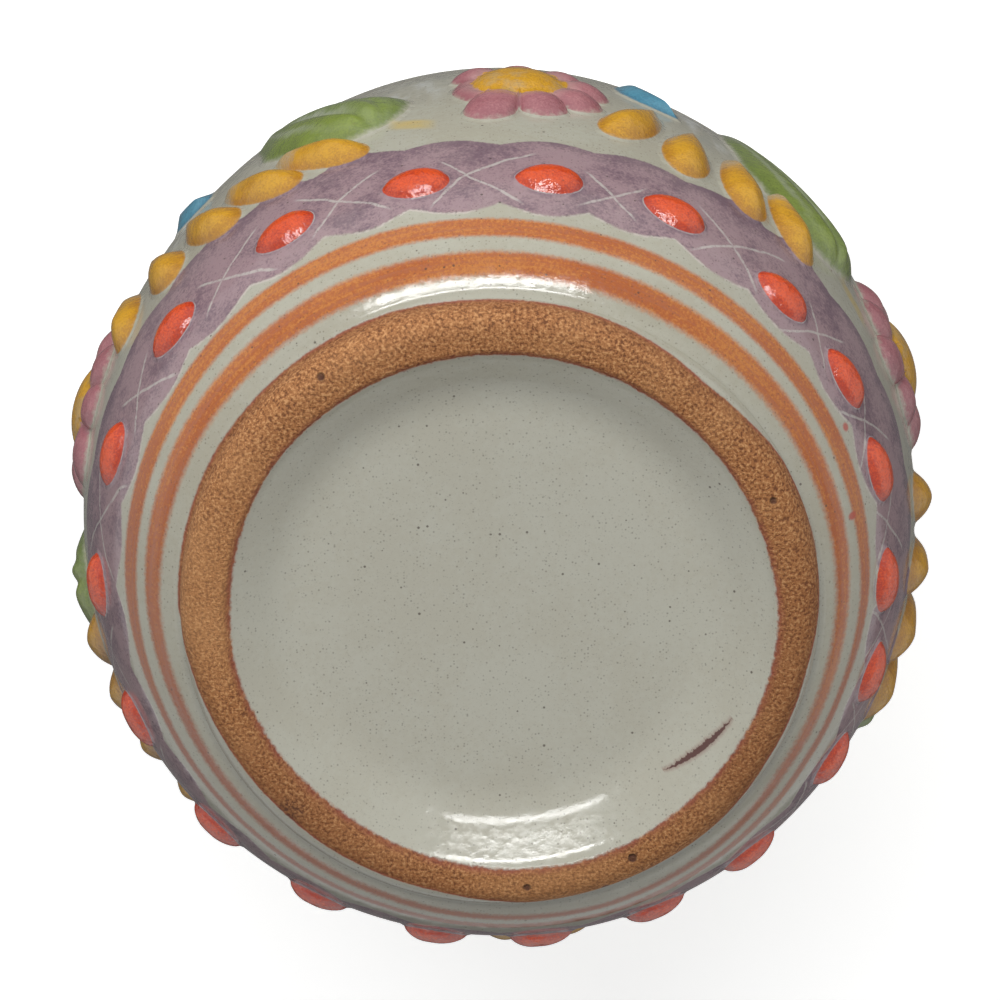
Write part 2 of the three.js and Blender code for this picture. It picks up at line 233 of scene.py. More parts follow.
class TumblerColours(bpy.types.PropertyGroup):
    """Colours of the glazes and the clay."""

    glaze: colour("Glaze", "Greyish white ground", 188, 187, 172)
    pale: colour("Pale line", "Thin white over the ground", 205, 200, 192)
    purple: colour("Purple wash", "Band behind the beads", 164, 135, 142)
    purple_deep: colour("Deep purple", "Where the wash is thick", 116, 88, 104)
    orange: colour("Orange line", "Brushed lines over the foot", 206, 129, 58)
    orange_deep: colour("Deep orange", "Where the brush was loaded", 180, 88, 26)
    red: colour("Bead red", "Beads", 232, 82, 14)
    red_deep: colour("Deep red", "Where the red pools", 190, 50, 10)
    yellow: colour("Yellow", "Drops and eyes", 220, 164, 30)
    yellow_deep: colour("Deep yellow", "Where the yellow pools", 182, 124, 22)
    beige: colour("Thin yellow", "Where the yellow runs out", 196, 172, 124)
    green: colour("Green", "Leaves", 134, 152, 62)
    green_deep: colour("Deep green", "Where the green pools", 106, 124, 54)
    blue: colour("Blue", "Buds", 86, 152, 176)
    blue_deep: colour("Deep blue", "Where the blue pools", 62, 122, 150)
    pink: colour("Pink", "Petals", 188, 126, 130)
    pink_deep: colour("Deep pink", "Where the pink pools", 160, 96, 104)
    clay: colour("Clay", "Bare foot", 172, 112, 62)
    clay_light: colour("Pale grain", "Sand in the clay", 214, 158, 104)
    clay_dark: colour("Dark grain", "Pits and dark grains", 112, 62, 26)
    clay_fringe: colour("Fringe", "Flush in the clay beside the glaze", 148, 74, 58)


class TumblerStage(bpy.types.PropertyGroup):
    """Camera and light."""

    tilt: plain("Tilt", "Lean of the view from straight under the foot", math.radians(17.7), "ROTATION")
    distance: length("Distance", "Camera to the middle of the foot", 300)
    lift: length("Lift", "How far the camera sits above its aim", 12)
    lens: plain("Lens", "Focal length in mm", 108, "CAMERA")
    key_power: plain("Key", "Power of the key lamp", 1.2, "POWER")
    glint_power: plain("Glint", "Power of the lamp that only the gloss shows", 1.2, "POWER")
    side_power: plain("Side", "Power of the lamp beside the pot", 0.75, "POWER")
    fill_power: plain("Fill", "Power of the lamp over the far side", 1.7, "POWER")
    ambient: plain("Ambient", "Light from all round, from below", 0.35)
    above: plain("Above", "Light from all round, from above", 0.72)
    slant: plain("Slant", "How much more comes from the key side", 0.28)
    card: plain("Card", "Grey of the card behind the pot", 0.14)


def bezier(start, first, second, end, steps):
    """Points of a cubic curve in the profile plane."""
    return geometry.interpolate_bezier(start, first, second, end, steps + 1)


def arc(centre, radius_out, radius_up, start, end, steps):
    """Points of an arc of an ellipse in the profile plane, its first one left out. Angles are in degrees."""
    points = []
    for step in range(1, steps + 1):
        angle = math.radians(start + (end - start) * step / steps)
        points.append(centre + Vector((radius_out * math.cos(angle), radius_up * math.sin(angle))))
    return points


def limited(value, low=0, high=1):
    """A number held between two."""
    return min(max(value, low), high)


def smooth_share(value, low, high):
    """0 below low, 1 above high, smooth between."""
    share = limited((value - low) / (high - low))
    return share * share * (3 - 2 * share)


def looked_up(row, value):
    """Where a value lies in a rising row: the index before it, and the share of the way to the next."""
    index = limited(bisect.bisect(row, value), 1, len(row) - 1)
    low, high = row[index - 1], row[index]
    return index - 1, limited((value - low) / (high - low))


class OuterWall:
    """The outer wall's curve, looked up by level or by the run up the wall from the glaze's edge."""

    def __init__(self, body):
        edge = Vector((body.foot_outer, body.foot_round))
        belly = Vector((body.belly_radius, body.belly_level))
        top = Vector((body.rim_radius, body.height - body.lip / 2))
        lower = bezier(edge, edge + Vector((8.7, 3.8)) * MM, belly - Vector((0, 22)) * MM, belly, 160)
        upper = bezier(belly, belly + Vector((0, 20)) * MM, top + Vector((4.3, -19)) * MM, top, 160)
        self.points = [*lower, *upper[1:]]
        self.runs = [0.0]
        for start, end in zip(self.points, self.points[1:]):
            self.runs.append(self.runs[-1] + (end - start).length)
        self.levels = [point.y for point in self.points]
        self.uneven = body.unevenness

    def run_at(self, level):
        """Run at a level."""
        index, share = looked_up(self.levels, level)
        return self.runs[index] + share * (self.runs[index + 1] - self.runs[index])

    def at(self, run):
        """The point at a run, and the way the wall goes there."""
        index, share = looked_up(self.runs, run)
        start, end = self.points[index], self.points[index + 1]
        return start.lerp(end, share), (end - start).normalized()

    def wander(self, place):
        """How far the wall stands in or out at a place, because it was thrown by hand."""
        calm = smooth_share(place.z, 4 * MM, 14 * MM)
        slow = noise.noise(place / (34 * MM))
        quick = noise.noise(place / (11 * MM) + Vector((3, 7, 1)))
        return self.uneven * calm * (slow + 0.3 * quick)

    def place(self, turn, level, lean, across, along, proud):
        """A spot on the wall. Across runs to the right seen from outside, along up, and proud outwards."""
        angle = math.radians(lean)
        side = across * math.cos(angle) + along * math.sin(angle)
        rise = along * math.cos(angle) - across * math.sin(angle)
        spot, way = self.at(self.run_at(level) + rise)
        turned = math.radians(turn) - side / spot.x
        bare = Vector((spot.x * math.cos(turned), -spot.x * math.sin(turned), spot.y))
        radius = spot.x + way.y * proud + self.wander(bare)
        return Vector((radius * math.cos(turned), -radius * math.sin(turned), spot.y - way.x * proud))


def spun(profile, steps):
    """A bmesh of a profile turned once round Z. Profile points are (radius, height)."""
    mesh = bmesh.new()
    corners = [mesh.verts.new((point[0], 0, point[1])) for point in profile]
    edges = [mesh.edges.new(pair) for pair in zip(corners, corners[1:])]
    bmesh.ops.spin(
        mesh, geom=corners + edges, cent=(0, 0, 0), axis=(0, 0, 1), dvec=(0, 0, 0),
        angle=2 * math.pi, steps=steps, use_merge=True, use_normal_flip=False, use_duplicate=False,
    )
    bmesh.ops.remove_doubles(mesh, verts=mesh.verts, dist=1e-7)
    return mesh


def linked(name, data):
    """A new object in the scene."""
    made = bpy.data.objects.new(name, data)
    bpy.context.scene.collection.objects.link(made)
    return made


def meshed(name, mesh, material):
    """A new object of a bmesh, in the scene."""
    data = bpy.data.meshes.new(name)
    mesh.to_mesh(data)
    mesh.free()
    data.materials.append(material)
    return linked(name, data)


def finished(name, mesh, material, node):
    """Makes an object of a bmesh, smooth, riding on the body and standing for its CAD node."""
    bmesh.ops.recalc_face_normals(mesh, faces=mesh.faces)
    for face in mesh.faces:
        face.smooth = True
    piece = meshed(name, mesh, material)
    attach(piece, BODY)
    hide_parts(node)


class Lengthwise:
    """Outline of a piece that is even about its length, such as a drop or a leaf."""

    def __init__(self, reach, half_width, ridge, origin):
        self.length = reach
        self.half_width = half_width
        self.ridge = ridge
        self.origin = origin

    def at(self, angle):
        """The outline's point at an angle round it, and the point of the ridge that it runs in to."""
        share = (1 + math.sin(angle)) / 2
        side = 0 if abs(math.cos(angle)) < 1e-6 else math.copysign(1, math.cos(angle))
        ridge = self.ridge[0] + (self.ridge[1] - self.ridge[0]) * share
        edge = Vector((side * self.half_width(share), (share - self.origin) * self.length))
        return edge, Vector((0, (ridge - self.origin) * self.length))

    def away(self, angle):
        """Unit vector square to the outline, away from its middle."""
        step = 0.03
        way = self.at(angle + step)[0] - self.at(angle - step)[0]
        edge, middle = self.at(angle)
        if way.length < 1e-9:
            return (edge - middle).normalized()
        square = Vector((way.y, -way.x)).normalized()
        return square if square.dot(edge - middle) > 0 else -square

    def lie(self, spot, angle):
        """Share of the length, and share of the half width across."""
        share = spot.y / self.length + self.origin
        half = max(self.half_width(limited(share)), 0.3 * MM)
        return share, limited(spot.x / half, -1, 1)


class Petalled:
    """Outline of a flower. petal gives how full a petal is at an angle, and its reach there."""

    def __init__(self, petal):
        self.petal = petal

    def at(self, angle):
        return self.away(angle) * self.petal(angle)[1], Vector((0, 0))

    def away(self, angle):
        return Vector((math.cos(angle), math.sin(angle)))

    def lie(self, spot, angle):
        """How full the petal is, and millimetres out from the middle."""
        return self.petal(angle)[0], spot.length / MM


class Layer:
    """Lays relief of one kind and hue on the wall."""

    # Ways out at which the skirt has a ring of corners, from 1 at the mound's edge to 2 at the hem
    SKIRT_WAYS = [1, 1.12, 1.3, 1.5, 1.75, 2]
    # How deep a skirt's hem and a mound's back go into the wall
    HEM = 0.03 * MM
    BACK = 0.5 * MM

    def __init__(self, scene, hue, kind):
        self.sizes = scene.tumbler_relief
        self.wall = OuterWall(scene.tumbler_body)
        self.material = relief_material(scene, hue, kind)
        self.slot = f"{hue}_glaze"

    def lay(self, name, node, place, shape, crown, spokes=64, rings=12):
        """A mound of glazed clay on the wall, whose skirt runs out onto the glaze, closed underneath.

        place is (turn, level, lean). crown gives the height at a share of the way out and at a spot. The lie
        attribute holds the way out and what the shape's lie gives, for the material."""
        ways = [ring / rings for ring in range(rings)] + self.SKIRT_WAYS
        mesh = spun([(way, 0) for way in ways], spokes)
        lie = mesh.verts.layers.float_vector.new("lie")
        for corner in mesh.verts:
            way = math.hypot(corner.co.x, corner.co.y)
            angle = math.atan2(corner.co.y, corner.co.x)
            edge, middle = shape.at(angle)
            inside = min(way, 1)
            spot = middle.lerp(edge, inside)
            corner[lie] = (way, *shape.lie(spot, angle))
            if way > 1:
                proud = self.sizes.base * (2 - way) ** 2 - self.HEM * (way - 1)
                spot = spot + shape.away(angle) * (way - 1) * self.sizes.skirt
            else:
                proud = self.sizes.base + crown(inside, spot, angle)
            corner.co = self.wall.place(*place, spot.x, spot.y, proud)
        rim = [edge for edge in mesh.edges if edge.is_boundary]
        for edge in rim:
            edge.smooth = False
        back = bmesh.ops.extrude_edge_only(mesh, edges=rim)["geom"]
        for corner in back:
            if isinstance(corner, bmesh.types.BMVert):
                corner.co -= Vector((corner.co.x, corner.co.y, 0)).normalized() * self.BACK
        edges = [edge for edge in back if isinstance(edge, bmesh.types.BMEdge) and edge.is_boundary]
        bmesh.ops.holes_fill(mesh, edges=edges, sides=0)
        finished(name, mesh, self.material, node)


class Bench:
    """Adds nodes to a tree."""

    def __init__(self, tree):
        self.tree = tree

    def feed(self, socket, value):
        """Links a value to a socket, or sets a plain number or colour there."""
        if isinstance(value, Value):
            self.tree.links.new(value.socket, socket)
        elif socket.type == "RGBA":
            socket.default_value = (*value, 1)
        else:
            socket.default_value = value

    def node(self, kind, feeds=None, **settings):
        """Adds a node and feeds its inputs, each by its number or name."""
        made = self.tree.nodes.new(kind)
        for key, setting in settings.items():
            setattr(made, key, setting)
        for key, value in (feeds or {}).items():
            self.feed(made.inputs[key], value)
        return made

    def value(self, kind, feeds=None, output=0, **settings):
        """Adds a node and gives one of its outputs."""
        return Value(self, self.node(kind, feeds, **settings).outputs[output])


class Value:
    """An output on a bench. Arithmetic on it, with numbers too, adds the nodes that it takes."""

    def __init__(self, bench, socket):
        self.bench = bench
        self.socket = socket

    def math(self, operation, *others):
        return self.bench.value("ShaderNodeMath", dict(enumerate((self, *others))), operation=operation)

    __add__ = partialmethod(math, "ADD")
    __sub__ = partialmethod(math, "SUBTRACT")
    __mul__ = partialmethod(math, "MULTIPLY")
    __truediv__ = partialmethod(math, "DIVIDE")
    __gt__ = partialmethod(math, "GREATER_THAN")
    __lt__ = partialmethod(math, "LESS_THAN")
    __abs__ = partialmethod(math, "ABSOLUTE")

    def __rsub__(self, other):
        return self.bench.value("ShaderNodeMath", {0: other, 1: self}, operation="SUBTRACT")

    def split(self):
        """The three parts of a vector or a colour."""
        made = self.bench.node("ShaderNodeSeparateXYZ", {0: self})
        return [Value(self.bench, socket) for socket in made.outputs]

    def step(self, low, high, start=0.0, end=1.0):
        """Runs smoothly from start to end as the value goes from low to high."""
        feeds = dict(enumerate((self, low, high, start, end)))
        return self.bench.value("ShaderNodeMapRange", feeds, interpolation_type="SMOOTHSTEP")

    def between(self, first, second):
        """A number between two, at this share of the way."""
        return self.bench.value("ShaderNodeMix", {0: self, 2: first, 3: second}, data_type="FLOAT")

    def noise(self, scale, detail=2.0, roughness=0.5, output="Fac"):
        """Smooth noise over this place."""
        feeds = {"Vector": self, "Scale": scale, "Detail": detail, "Roughness": roughness}
        return self.bench.value("ShaderNodeTexNoise", feeds, output)

    def scatter(self, scale, rare, size, low, high):
        """Round specks over this place, of which those rarer than a chance grow up to a size."""
        made = self.bench.node("ShaderNodeTexVoronoi", {"Vector": self, "Scale": scale})
        far, chance = (Value(self.bench, made.outputs[name]) for name in ("Distance", "Color"))
        return (far - chance.split()[0].step(rare, 1) * size).step(low, high, 1, 0)

    def curve(self, points):
        """Straight lines between points, each from 0 to 1 both ways."""
        made = self.bench.node("ShaderNodeFloatCurve", {"Value": self})
        line = made.mapping.curves[0]
        line.points[0].location = points[0]
        line.points[1].location = points[-1]
        for point in points[1:-1]:
            line.points.new(*point)
        for point in line.points:
            point.handle_type = "VECTOR"
        made.mapping.update()
        return Value(self.bench, made.outputs[0])

    def table(self, rows):
        """A table of turns and values, looked up at this share of the whole turn."""
        low = min(value for _, value in rows) - 1
        reach = max(value for _, value in rows) + 1 - low
        return self.curve([(turn / 360, (value - low) / reach) for turn, value in rows]) * reach + low


def joined(x, y, z):
    """A vector of three parts, the first of which is a value."""
    return x.bench.value("ShaderNodeCombineXYZ", {0: x, 1: y, 2: z})


def most(first, *others):
    """The greatest of some values."""
    for other in others:
        first = first.math("MAXIMUM", other)
    return first


def distance(across, up):
    """How far a place is from the middle."""
    return (across * across + up * up).math("SQRT")


def speck(across, up, radius, soft):
    """1 within a radius of the middle, with a soft edge."""
    return distance(across, up).step(radius - soft, radius + soft, 1, 0)


def layered(base, *layers):
    """Lays colours over a colour, each at its share."""
    for share, shade in layers:
        base = share.bench.value("ShaderNodeMix", {0: share, 6: base, 7: shade}, 2, data_type="RGBA")
    return base


def around(place):
    """A place's parts, its distance from the pot's middle, and its share of the whole turn."""
    x, y, z = place.split()
    angle = (y * -1).math("ARCTAN2", x)
    return x, y, z, distance(x, y), (angle / (2 * math.pi)).math("WRAP", 1, 0)


def group(name, outputs, build):
    """A shader node group over a place in mm, made once. build gets the place and gives the outputs."""
    if name in bpy.data.node_groups:
        return bpy.data.node_groups[name]
    tree = bpy.data.node_groups.new(name, "ShaderNodeTree")
    tree.interface.new_socket("Place", in_out="INPUT", socket_type="NodeSocketVector")
    for label, kind in outputs.items():
        tree.interface.new_socket(label, in_out="OUTPUT", socket_type=f"NodeSocket{kind}")
    bench = Bench(tree)
    place = bench.value("NodeGroupInput")
    sink = bench.node("NodeGroupOutput")
    for socket, value in zip(sink.inputs, build(place)):
        bench.feed(socket, value)
    return tree


def placed(place, tree):
    """Places a group on the bench that a place is on, and gives its outputs."""
    made = place.bench.node("ShaderNodeGroup", {0: place}, node_tree=tree)
    return [Value(place.bench, socket) for socket in made.outputs]


def glaze_grain():
    """Dark specks, slow mottling and the peel of the glaze."""
    def build(place):
        specks = place.scatter(1.1, 0.84, 0.17, -0.06, 0.03) * 0.75
        dots = place.scatter(3, 0.5, 0.36, -0.2, 0.08) * 0.4
        dust = place.noise(4.4, 3, 0.7).step(0.58, 0.72, 0, 0.3)
        mottle = place.noise(0.11, 3, 0.55) * 0.6 + place.noise(1.5, 3, 0.6) * 0.4
        return most(specks, dots, dust), mottle, place.noise(1.1, 3, 0.5)
    return group("glaze_grain", {"Specks": "Float", "Mottle": "Float", "Peel": "Float"}, build)


def firing_crack(x, y, z):
    """Masks of the crack on the recess's slope and of the stain beside it."""
    start, end = Vector(CRACK[0]), Vector(CRACK[1])
    way = (end - start).normalized()
    middle = (start + end) / 2
    across, up = x - middle.x, y - middle.y
    along = across * way.x + up * way.y
    reach = along / ((end - start).length / 2)
    inward = 1 - reach * reach
    wobble = joined(along, 0, 0).noise(1.6, 3, 0.7)
    bowed = up * way.x - across * way.y - inward * 0.55 + (wobble - 0.5) * 0.7
    off = abs(bowed) - most(inward, 0) * wobble.between(0.12, 0.42)
    there = (z < 6) * (inward > 0)
    return off.step(-0.06, 0.04, 1, 0) * there, off.step(0, 0.4, 0.45, 0) * there


def bare_clay(colours):
    """Sandy foot clay: its colour, its grain's height, and a mask that is 1 where the clay is bare."""
    def build(place):
        x, y, z, radius, share = around(place)
        ragged = place.noise(1.3, 4, 0.75) - 0.5
        tilted = z * EDGE_TILT
        inner = radius - tilted - share.table(RECESS_EDGE) + ragged * 0.8
        outer = share.table(WALL_EDGE) - (radius + tilted) + ragged * 0.35
        mask = inner.step(-0.22, 0.2) * outer.step(-0.14, 0.14) * (z < 6.5)
        fringe = inner.math("MINIMUM", outer * 2).step(0, 1, 1, 0)
        coarse = place.noise(3.1, 1, 0.5)
        grains = coarse * 0.7 + place.noise(6.5, 1, 0.5) * 0.3
        pits = most(*(speck(x - across, y - up, reach, 0.15) for across, up, reach in PITS))
        smear = speck(x - SMEAR[0], y - SMEAR[1], 1.3, 0.9) * coarse.step(0.35, 0.6, 1, 0.2)
        clay = layered(
            colours.clay_dark,
            (grains.step(0.36, 0.5), colours.clay),
            (grains.step(0.5, 0.66), colours.clay_light),
            (place.noise(0.16, 3, 0.6).step(0.4, 0.75, 0, 0.25), colours.clay_light),
            # Painted light and painted shade: the clay is made paler and darker by turn
            (share.table(CLAY_PAINTED_LIGHT), colours.clay_light),
            (share.table(CLAY_PAINTED_SHADE), colours.clay_dark),
            # Painted shade: the clay darkens towards its outer edge, where the rounded foot turns away from
            # the light
            (outer.step(0.1, 1.9, 0.4, 0), colours.clay_dark),
            (fringe * place.noise(0.5, 3).step(0.3, 0.62, 0.3, 0.85), colours.clay_fringe),
            (smear * 0.75, srgb(74, 40, 26)),
            (pits * 0.85, srgb(70, 30, 18)),
        )
        return clay, grains - pits * 1.5, mask
    return group("bare_clay", {"Color": "Color", "Height": "Float", "Mask": "Float"}, build)


def scratched_crosses(place, z, share):
    """A mask of the crosses scratched between the beads. The phase runs by one from bead to bead."""
    turns = [0, *(turn for turn, _ in BEAD_PLACES[:-1]), 360]
    phase = share.table(sorted(
        [(turn, index) for index, turn in enumerate(turns)]
        + [(turn, index + 0.5) for index, (turn, _) in enumerate(CROSSES)]
    ))
    bend_x, bend_y = ((part - 0.5) * 1.4 for part in place.noise(0.16, output="Color").split()[:2])
    side = (phase.math("FRACT") - 0.5) * 14
    rise = z - share.table([(0, 12), *CROSSES, (360, 12)]) + bend_y
    arm = joined(phase.math("FLOOR"), side > 0, rise > 0)
    arm = place.bench.value("ShaderNodeTexWhiteNoise", {"Vector": arm}, "Value")
    side = abs(side + bend_x)
    gap = abs(abs(rise) - side * 0.86)
    past = side - arm.between(3, 6.4)
    scratch = place.noise(1.4, 3, 0.7)
    cross = gap.step(scratch.between(-0.02, 0.2), scratch.between(0.16, 0.42), 1, 0)
    return cross * past.step(-1, 0.2, 1, 0) * scratch.step(0.3, 0.55, 0.25, 0.7)


def painted_wall(colours, relief):
    """The painting on the wall as a colour: lines, washed band, scratched crosses, folds and stems."""
    def build(place):
        x, y, z, radius, share = around(place)
        turned = share * (2 * math.pi)
        specks, mottle, peel = placed(place, glaze_grain())
        crack, stain = firing_crack(x, y, z)
        warm = halfway(colours.glaze, srgb(158, 146, 118))
        ground = layered(
            halfway(colours.glaze, warm),
            (mottle.step(0.4, 0.62), colours.glaze),
            ((radius > 30) * (z < 60) * 0.22, warm),
            ((radius < 28) * (z < 6) * 0.35, srgb(214, 212, 198)),
            (stain, srgb(150, 104, 92)),
            (crack * 0.9, srgb(84, 36, 34)),
        )

        # Brush hairs follow the wheel, so their noise is drawn out round the pot.
        hairs = joined(turned * 2.4, z * 3.4, 0).noise(1, 3, 0.6)
        load = joined(turned * 2.6, z * 0.5, 5).noise(1, 3, 0.5)
        grit = (place.noise(3.1, 2, 0.6) - 0.5) * 1.5
        level = z + (place.noise(2.4, 3, 0.6) - 0.5) * 0.4
        paint = layered(
            colours.orange_deep,
            ((hairs + load + grit).step(0.74, 1.42), colours.orange),
            (share.table(LINES_BROWN), srgb(150, 80, 50)),
        )
        lines = most(*(
            (share.table(half) - abs(level - share.table(middle))).step(-0.2, 0.34) for middle, half in LINES
        ))
        flecks = [((turned - math.radians(turn)) * FLECK_RADIUS, z - up) for turn, up in FLECKS]

        # The washed band between two scalloped edges
        scallop = abs((turned * 14).math("SINE"))
        wander = (place.noise(0.09, 2) - 0.5) * 1.6
        top_away = share.table(BAND_TOP) + scallop * 1.1 - level
        bottom_away = level + wander - (share.table(BAND_BOTTOM) - scallop * 1.2)
        band = top_away.step(-0.15, 0.2) * bottom_away.step(-0.2, 0.25)
        thick = place.noise(0.2, 3, 0.6) + top_away.step(0, 3.2, 0.2, 0)
        thick = thick + (place.noise(0.9, 4, 0.75) - 0.5) * 0.55 + grit * 0.4
        wash = layered(
            colours.purple,
            (thick.step(0.36, 0.78), colours.purple_deep),
            (mottle.step(0.35, 0.6, 0.2, 0), srgb(176, 158, 156)),
        )
        # Painted highlight: a thin pale line along the band's lower scalloped edge, where the wash's edge
        # catches the light
        hem = abs(bottom_away + 0.05).step(0.02, 0.2, 0.6, 0) * mottle.step(0.42, 0.56)

        # Soft folds between a leaf and its flower, and on the flower's other side: the dark streaks are
        # painted shade and the pale streaks painted sheen
        beside = [(spray["flower"] + off, fold) for spray in SPRAYS for off, fold in FOLD_SHADE_AND_SHEEN]
        fold_shade_and_sheen = share.table([(0, 0), *sorted(beside), (360, 0)]) * (z.step(35, 42) * z.step(48, 62, 1, 0))
        streaks = joined(turned * 13, z * 0.09, 0).noise(1, 3, 0.5)

        # A yellow stem ends at the low tip of each leaf.
        stems = []
        for spray in SPRAYS:
            past = turned - math.radians(spray["leaf"] - 3.2)
            off = past.math("SINE") * STEM_RADIUS
            up = z - (relief.leaf_level / MM + spray["above"] - 0.7) - off * 0.5
            stem = abs(off).step(1, 3, 1, 0) * abs(up).step(0.7, 1.9, 1, 0)
            stems.append(stem * (past.math("COSINE") > 0))

        painted = layered(
            ground,
            (lines * (hairs + grit * 0.4).step(0.25, 0.6, 0.86, 0.98), paint),
            *((speck(*fleck, 0.42, 0.16) * 0.85, srgb(186, 70, 50)) for fleck in flecks),
            (band * 0.94, wash),
            (hem, srgb(216, 206, 198)),
            (scratched_crosses(place, z, share) * band, colours.pale),
            # Painted shade and painted sheen of the folds: dark streaks, then pale streaks
            (fold_shade_and_sheen * streaks.step(0.32, 0.52, 0.4, 0), srgb(150, 154, 150)),
            (fold_shade_and_sheen * streaks.step(0.46, 0.7, 0, 0.75), srgb(220, 222, 218)),
            (most(*stems) * place.noise(0.7, 2).step(0.3, 0.6, 0.6, 0.85), srgb(206, 182, 112)),
        )

        # The painting is on the outer wall alone; inside and in the recess the ground stays plain.
        outside = radius > (z / MIDWALL_TOP).curve(MIDWALL) * MIDWALL_WIDEST
        return painted, ground, specks, peel, outside
    outputs = {"Painted": "Color", "Ground": "Color", "Specks": "Float", "Peel": "Float", "Outside": "Float"}
    return group("painted_wall", outputs, build)


def cleared(owner):
    """The bench of a material or a world whose nodes are taken away."""
    owner.use_nodes = True
    owner.node_tree.nodes.clear()
    return Bench(owner.node_tree)


def fired_material(name, depth, build, **gloss):
    """A material of a fired surface. build gets the place in mm and gives the colour, the roughness and a
    height, which depth in mm multiplies."""
    material = bpy.data.materials.new(name)
    bench = cleared(material)
    place = bench.value("ShaderNodeTexCoord", output="Object")
    place = bench.value("ShaderNodeVectorMath", {0: place, "Scale": 1 / MM}, operation="SCALE")
    surface, roughness, height = build(place)
    normal = bench.value("ShaderNodeBump", {"Strength": 1, "Distance": depth * MM, "Height": height})
    feeds = {"Base Color": surface, "Roughness": roughness, "Normal": normal, **gloss}
    shader = bench.value("ShaderNodeBsdfPrincipled", feeds)
    bench.node("ShaderNodeOutputMaterial", {"Surface": shader})
    return material


def body_material(scene):
    """The painted and glazed body with its bare foot."""
    colours = scene.tumbler_colours

    def build(place):
        painted, ground, specks, peel, outside = placed(place, painted_wall(colours, scene.tumbler_relief))
        clay, grain, bare = placed(place, bare_clay(colours))
        surface = layered(ground, (outside, painted), (specks, srgb(72, 60, 52)), (bare, clay))
        roughness = bare.between(peel.step(0.3, 0.7, 0.09, 0.2), 0.85)
        return surface, roughness, (1 - bare) * (peel * 0.12 + 0.8) + bare * grain
    return fired_material("painted_body", 0.22, build)


def relief_material(scene, hue, kind):
    """A coloured glaze over a mound, running out into the painted wall at the mound's foot."""
    colours = scene.tumbler_colours
    deep = getattr(colours, f"{hue}_deep")
    speckled, grainy, depth = (1.7, 0.15, 0.17) if kind == "bead" else (1.2, 0.5, 0.1)

    def build(place):
        base, _, specks, peel, _ = placed(place, painted_wall(colours, scene.tumbler_relief))
        lie = place.bench.value("ShaderNodeAttribute", output="Vector", attribute_name="lie")
        way, along, side = lie.split()
        ragged = place.noise(1.2, 3, 0.6) - 0.5
        edge = way + ragged * 0.16
        cloud = place.noise(0.4, 3, 0.6)
        fine = place.noise(4.2, 2, 0.6)
        pooled = way.step(0.6, 1.0, 0, 0.4) + (cloud - 0.3) + (fine - 0.5) * speckled
        glaze = layered(getattr(colours, hue), (pooled.step(-0.05, 0.8), deep))
        cover = edge.step(0.98, 1.12, 1, 0)
        if kind == "bead":
            # Round the bead's foot, the patchy deep purple is painted shade, and the thin pale ring is partly
            # a scratched outline and partly a painted highlight on the bead's rim
            ring = edge.step(1.06, 1.12) * edge.step(1.14, 1.28, 1, 0)
            base = layered(
                base,
                (edge.step(1.2, 1.9, 1, 0) * cloud.step(0.35, 0.6, 0, 0.6), colours.purple_deep),
                (ring * cloud.step(0.4, 0.6, 0, 0.6), colours.pale),
            )
        if kind == "drop":
            run_out = along + (cloud - 0.5) * 0.4 + side * 0.05
            tail = layered(colours.beige, (fine.step(0.4, 0.62), halfway(colours.beige, colours.pale)))
            glaze = layered(glaze, (run_out.step(0.52, 0.88, 0, 0.85), tail))
            cover = edge.step(0.94, 1.12, 1, 0) * along.step(0.88, 1.05, 1, 0.6)
        if kind == "bud":
            glaze = layered(glaze, (along.step(0.6, 1, 0, 0.5), srgb(130, 160, 164)))
            cover = edge.step(0.86, 1.08, 1, 0)
        if kind == "leaf":
            wavy = side + (cloud - 0.5) * 0.3
            veins = most(abs(wavy).step(0.02, 0.2, 1, 0), *(
                abs(wavy - level).step(0.01, 0.13, 0.6, 0) for level in (-0.5, 0.34, 0.6, 0.84)
            ))
            glaze = layered(
                glaze,
                (along.step(0.3, 0.8, 0, 0.55), srgb(122, 138, 84)),
                (side.step(-0.15, 0.2) * along.step(0.05, 0.5, 0.2, 0.6), srgb(132, 148, 104)),
                (along.step(0.75, 1, 0, 0.7), srgb(164, 168, 150)),
                (veins * along.step(0.08, 0.4, 0.1, 0.75), srgb(180, 186, 166)),
            )
            cover = edge.step(0.88, 1.06, 1, 0)
        if kind == "petal":
            eye = scene.tumbler_relief.eye_radius / MM
            centre = layered(
                colours.yellow,
                (pooled.step(0, 0.7), colours.yellow_deep),
                (cloud.step(0.45, 0.65, 0, 0.5), colours.beige),
            )
            glaze = layered(
                glaze,
                (along.step(0.05, 0.45, 0.6, 0) * side.step(eye, eye + 3), deep),
                (side.step(eye - 0.3, eye + 2, 0.5, 0), halfway(colours.glaze, colours.pink)),
                ((side + ragged * 0.8).step(eye - 0.15, eye + 0.15, 1, 0), centre),
            )
            cover = edge.step(0.94, 1.06, 1, 0)
        surface = layered(base, (cover, glaze), (specks * 0.6, srgb(96, 56, 40)))
        return surface, fine.step(0.3, 0.7, 0.04, 0.12), fine * grainy + peel * 1.2
    return fired_material(f"{hue}_{kind}_glaze", depth, build, IOR=1.6)


